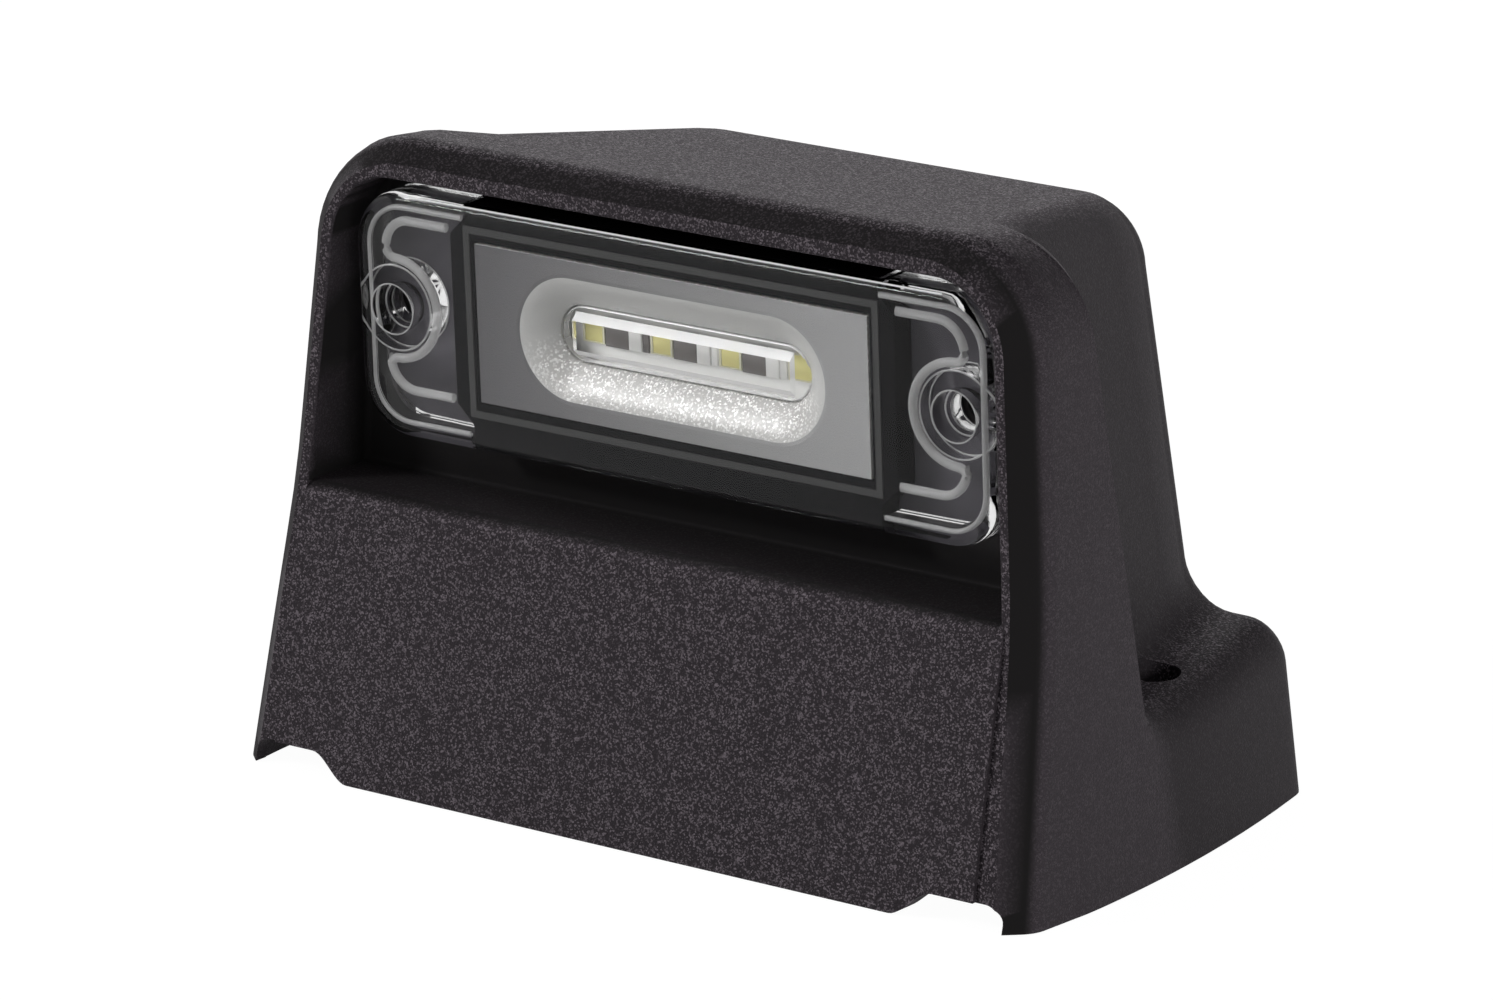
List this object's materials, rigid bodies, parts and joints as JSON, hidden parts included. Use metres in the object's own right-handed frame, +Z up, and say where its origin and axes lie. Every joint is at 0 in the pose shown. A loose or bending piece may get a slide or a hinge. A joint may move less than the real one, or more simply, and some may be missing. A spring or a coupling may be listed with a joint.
{
  "type": "number plate lamp",
  "caption": "Vehicle number plate lamp: a tapered black moulded hood with a wide clear lens in its deep front recess, rear corner ears for bolts, and a sealed row of LEDs.",
  "frame": {"origin": "middle of the box of the open rim that the lamp stands on, at its foot", "axes": "+X to the right seen from the front, along the lens; +Y from the lens to the rear face; +Z up from the rim to the roof"},
  "size_m": [0.1086, 0.0634, 0.0718],
  "materials": {
    "housing_plastic": "fine spark texture",
    "lens_clear": "clear, polished",
    "base_plastic": "satin",
    "seal_rubber": "matt",
    "gasket_foam": "matt closed-cell foam",
    "reflector_grey": "satin grey",
    "window_clear": "clear, polished",
    "board_white": "white lacquer",
    "led_yellow": "phosphor under clear resin",
    "chip_black": "matt",
    "capacitor_can": "satin",
    "pin_brass": "tinned",
    "cover_plastic": "satin",
    "grommet_rubber": "matt"
  },
  "bodies": {
    "root": {"housing": "housing_plastic", "lens": "lens_clear", "lamp_base": "base_plastic", "lens_seal": "seal_rubber", "gasket": "gasket_foam", "reflector": "reflector_grey", "led_window": "window_clear", "circuit_board": "board_white", "led_1": "led_yellow", "led_2": "led_yellow", "led_3": "led_yellow", "led_4": "led_yellow", "resistor_1": "chip_black", "resistor_2": "chip_black", "resistor_3": "chip_black", "driver_chip": "chip_black", "capacitor": "capacitor_can", "diode": "chip_black", "surge_absorber": "chip_black", "supply_pin": "pin_brass", "ground_pin": "pin_brass", "back_cover": "cover_plastic", "cable_grommet": "grommet_rubber"}
  },
  "joints": []
}
